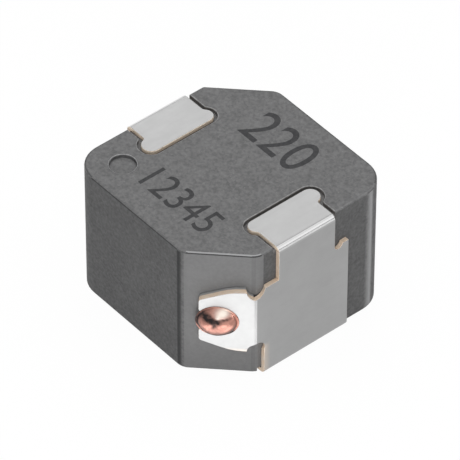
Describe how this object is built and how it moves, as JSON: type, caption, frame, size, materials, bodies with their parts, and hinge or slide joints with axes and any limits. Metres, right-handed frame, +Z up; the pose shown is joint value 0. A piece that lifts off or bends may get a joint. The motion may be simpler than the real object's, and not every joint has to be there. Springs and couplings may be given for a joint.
{
  "type": "shielded smd inductor",
  "caption": "Moulded block inductor for surface mounting, with chamfered corners, folded sheet terminals and welded wire ends.",
  "frame": {"origin": "on the board, at the middle of the part's underside", "axes": "+Z up from the board, +X towards the right terminal; the right terminal's wing and weld bead are on the chamfer at +X and -Y"},
  "size_m": [0.0074, 0.007, 0.005],
  "materials": {
    "pressed_powder": "matte mottled dark grey, pressed iron powder composite",
    "enamelled_copper": "copper under clear enamel",
    "tinned_copper": "satin tin plating, bare copper at the cut edges",
    "melted_copper": "glossy melted copper"
  },
  "bodies": {
    "root": {"core_body": "pressed_powder", "coil": "enamelled_copper", "right_terminal": "tinned_copper", "left_terminal": "tinned_copper", "right_weld_bead": "melted_copper", "left_weld_bead": "melted_copper"}
  },
  "joints": []
}
